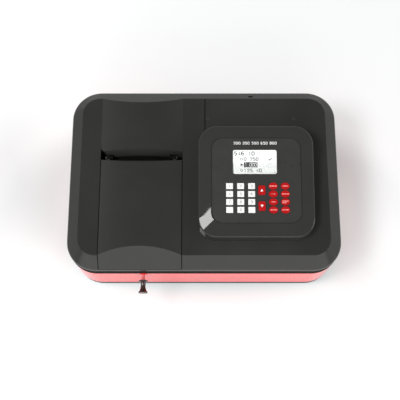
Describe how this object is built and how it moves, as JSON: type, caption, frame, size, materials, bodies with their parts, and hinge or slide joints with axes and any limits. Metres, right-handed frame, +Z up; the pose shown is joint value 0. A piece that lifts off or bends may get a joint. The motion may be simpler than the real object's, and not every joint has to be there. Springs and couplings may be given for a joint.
{
  "type": "benchtop spectrophotometer",
  "caption": "Low benchtop spectrophotometer with a hinged lid over its sample compartment, a pull-rod cell changer and a sloping keypad with display.",
  "frame": {"origin": "under the middle of the whole box, on the plane of the feet", "axes": "+Z up, +X to the user's right, front with the pull knob towards -Y"},
  "size_m": [0.46, 0.352, 0.1859],
  "materials": {
    "tray": "satin powder coat",
    "rubber": "matte",
    "housing_red": "high gloss",
    "rear_plate": "satin powder coat",
    "casing_dark": "fine matte texture",
    "screw_dark": "blackened",
    "tub_black": "matte black",
    "steel": "ground",
    "carriage_alu": "black anodised",
    "knob_black": "gloss",
    "overlay_dark": "satin film",
    "window": "clear",
    "lcd": "backlit display",
    "circuit_board": "solder mask",
    "bench_alu": "machined",
    "motor": "satin",
    "lamp_glass": "clear quartz",
    "mirror": "polished",
    "wheel_black": "matte",
    "sheet_steel": "zinc plated",
    "fan_black": "moulded",
    "connector_black": "moulded",
    "rocker_black": "moulded",
    "key_white": "satin",
    "key_red": "satin"
  },
  "bodies": {
    "root": {"base_tray": "tray", "control_head": "casing_dark", "cover_screws": "screw_dark", "detector_housing": "tub_black", "deuterium_lamp": "lamp_glass", "display_window": "window", "fan_frame": "fan_black", "guide_rails": "steel", "keypad_board": "circuit_board", "lamp_mount": "bench_alu", "lcd_module": "lcd", "lid_hinge_pins": "screw_dark", "lower_housing": "housing_red", "main_board": "circuit_board", "monochromator_mirrors": "mirror", "optical_bench": "bench_alu", "panel_overlay": "overlay_dark", "power_supply": "sheet_steel", "rear_connectors": "connector_black", "rear_panel": "rear_plate", "rod_bushing": "knob_black", "rubber_feet": "rubber", "sample_compartment": "tub_black", "slit_plates": "tub_black", "stepper_motors": "motor", "top_cover": "casing_dark", "tungsten_lamp": "lamp_glass"},
    "lid": {"lid": "casing_dark", "lid_seal": "rubber"},
    "cell_changer": {"cell_carriage": "carriage_alu", "pull_rod": "steel", "pull_knob": "knob_black"},
    "rocker": {"power_rocker": "rocker_black"},
    "fan_rotor": {"fan_rotor": "fan_black"},
    "filter_wheel": {"filter_wheel": "wheel_black"},
    "grating_table": {"grating_table": "bench_alu", "grating": "mirror"},
    "source_mirror": {"source_mirror": "mirror"},
    "body_arrow_key_down": {"arrow_key_down": "key_red"},
    "body_arrow_key_up": {"arrow_key_up": "key_red"},
    "body_digit_key_01": {"digit_key_01": "key_white"},
    "body_digit_key_02": {"digit_key_02": "key_white"},
    "body_digit_key_03": {"digit_key_03": "key_white"},
    "body_digit_key_04": {"digit_key_04": "key_white"},
    "body_digit_key_05": {"digit_key_05": "key_white"},
    "body_digit_key_06": {"digit_key_06": "key_white"},
    "body_digit_key_07": {"digit_key_07": "key_white"},
    "body_digit_key_08": {"digit_key_08": "key_white"},
    "body_digit_key_09": {"digit_key_09": "key_white"},
    "body_digit_key_10": {"digit_key_10": "key_white"},
    "body_digit_key_11": {"digit_key_11": "key_white"},
    "body_digit_key_12": {"digit_key_12": "key_white"},
    "body_function_key_1": {"function_key_1": "key_red"},
    "body_function_key_2": {"function_key_2": "key_red"},
    "body_function_key_3": {"function_key_3": "key_red"},
    "body_function_key_4": {"function_key_4": "key_red"},
    "body_function_key_5": {"function_key_5": "key_red"},
    "body_function_key_6": {"function_key_6": "key_red"},
    "body_function_key_7": {"function_key_7": "key_red"},
    "body_function_key_8": {"function_key_8": "key_red"}
  },
  "joints": [
    {"name": "lid_hinge", "type": "hinge", "parent": "root", "child": "lid", "pos_m": [-0.106, 0.046, 0.15], "axis": [-1, 0, 0], "range_deg": [0, 80]},
    {"name": "cell_changer_slide", "type": "slide", "parent": "root", "child": "cell_changer", "axis": [0, -1, 0], "range_m": [0, 0.06]},
    {"name": "power_rocker_tip", "type": "hinge", "parent": "root", "child": "rocker", "pos_m": [0.004, 0.164, 0.052], "axis": [-1, 0, 0], "range_deg": [0, 20]},
    {"name": "fan_spin", "type": "hinge", "parent": "root", "child": "fan_rotor", "pos_m": [0.14, 0.164, 0.065], "axis": [0, 1, 0], "continuous": true},
    {"name": "filter_wheel_turn", "type": "hinge", "parent": "root", "child": "filter_wheel", "pos_m": [0.142, 0.06, 0.063], "axis": [0, 1, 0], "continuous": true},
    {"name": "grating_turn", "type": "hinge", "parent": "root", "child": "grating_table", "pos_m": [0.02, -0.004, 0.065], "axis": [0, 0, 1], "range_deg": [-25, 35]},
    {"name": "source_mirror_turn", "type": "hinge", "parent": "root", "child": "source_mirror", "pos_m": [0.142, 0.111, 0.08], "axis": [0, 0, 1], "range_deg": [0, 90]},
    {"name": "arrow_key_down_press", "type": "slide", "parent": "root", "child": "body_arrow_key_down", "axis": [0, 0.0889, -0.996], "range_m": [0, 0.0008], "stiffness_N_per_m": 600, "springref_m": -0.0005},
    {"name": "arrow_key_up_press", "type": "slide", "parent": "root", "child": "body_arrow_key_up", "axis": [0, 0.0889, -0.996], "range_m": [0, 0.0008], "stiffness_N_per_m": 600, "springref_m": -0.0005},
    {"name": "digit_key_01_press", "type": "slide", "parent": "root", "child": "body_digit_key_01", "axis": [0, 0.0889, -0.996], "range_m": [0, 0.0008], "stiffness_N_per_m": 600, "springref_m": -0.0005},
    {"name": "digit_key_02_press", "type": "slide", "parent": "root", "child": "body_digit_key_02", "axis": [0, 0.0889, -0.996], "range_m": [0, 0.0008], "stiffness_N_per_m": 600, "springref_m": -0.0005},
    {"name": "digit_key_03_press", "type": "slide", "parent": "root", "child": "body_digit_key_03", "axis": [0, 0.0889, -0.996], "range_m": [0, 0.0008], "stiffness_N_per_m": 600, "springref_m": -0.0005},
    {"name": "digit_key_04_press", "type": "slide", "parent": "root", "child": "body_digit_key_04", "axis": [0, 0.0889, -0.996], "range_m": [0, 0.0008], "stiffness_N_per_m": 600, "springref_m": -0.0005},
    {"name": "digit_key_05_press", "type": "slide", "parent": "root", "child": "body_digit_key_05", "axis": [0, 0.0889, -0.996], "range_m": [0, 0.0008], "stiffness_N_per_m": 600, "springref_m": -0.0005},
    {"name": "digit_key_06_press", "type": "slide", "parent": "root", "child": "body_digit_key_06", "axis": [0, 0.0889, -0.996], "range_m": [0, 0.0008], "stiffness_N_per_m": 600, "springref_m": -0.0005},
    {"name": "digit_key_07_press", "type": "slide", "parent": "root", "child": "body_digit_key_07", "axis": [0, 0.0889, -0.996], "range_m": [0, 0.0008], "stiffness_N_per_m": 600, "springref_m": -0.0005},
    {"name": "digit_key_08_press", "type": "slide", "parent": "root", "child": "body_digit_key_08", "axis": [0, 0.0889, -0.996], "range_m": [0, 0.0008], "stiffness_N_per_m": 600, "springref_m": -0.0005},
    {"name": "digit_key_09_press", "type": "slide", "parent": "root", "child": "body_digit_key_09", "axis": [0, 0.0889, -0.996], "range_m": [0, 0.0008], "stiffness_N_per_m": 600, "springref_m": -0.0005},
    {"name": "digit_key_10_press", "type": "slide", "parent": "root", "child": "body_digit_key_10", "axis": [0, 0.0889, -0.996], "range_m": [0, 0.0008], "stiffness_N_per_m": 600, "springref_m": -0.0005},
    {"name": "digit_key_11_press", "type": "slide", "parent": "root", "child": "body_digit_key_11", "axis": [0, 0.0889, -0.996], "range_m": [0, 0.0008], "stiffness_N_per_m": 600, "springref_m": -0.0005},
    {"name": "digit_key_12_press", "type": "slide", "parent": "root", "child": "body_digit_key_12", "axis": [0, 0.0889, -0.996], "range_m": [0, 0.0008], "stiffness_N_per_m": 600, "springref_m": -0.0005},
    {"name": "function_key_1_press", "type": "slide", "parent": "root", "child": "body_function_key_1", "axis": [0, 0.0889, -0.996], "range_m": [0, 0.0008], "stiffness_N_per_m": 600, "springref_m": -0.0005},
    {"name": "function_key_2_press", "type": "slide", "parent": "root", "child": "body_function_key_2", "axis": [0, 0.0889, -0.996], "range_m": [0, 0.0008], "stiffness_N_per_m": 600, "springref_m": -0.0005},
    {"name": "function_key_3_press", "type": "slide", "parent": "root", "child": "body_function_key_3", "axis": [0, 0.0889, -0.996], "range_m": [0, 0.0008], "stiffness_N_per_m": 600, "springref_m": -0.0005},
    {"name": "function_key_4_press", "type": "slide", "parent": "root", "child": "body_function_key_4", "axis": [0, 0.0889, -0.996], "range_m": [0, 0.0008], "stiffness_N_per_m": 600, "springref_m": -0.0005},
    {"name": "function_key_5_press", "type": "slide", "parent": "root", "child": "body_function_key_5", "axis": [0, 0.0889, -0.996], "range_m": [0, 0.0008], "stiffness_N_per_m": 600, "springref_m": -0.0005},
    {"name": "function_key_6_press", "type": "slide", "parent": "root", "child": "body_function_key_6", "axis": [0, 0.0889, -0.996], "range_m": [0, 0.0008], "stiffness_N_per_m": 600, "springref_m": -0.0005},
    {"name": "function_key_7_press", "type": "slide", "parent": "root", "child": "body_function_key_7", "axis": [0, 0.0889, -0.996], "range_m": [0, 0.0008], "stiffness_N_per_m": 600, "springref_m": -0.0005},
    {"name": "function_key_8_press", "type": "slide", "parent": "root", "child": "body_function_key_8", "axis": [0, 0.0889, -0.996], "range_m": [0, 0.0008], "stiffness_N_per_m": 600, "springref_m": -0.0005}
  ]
}
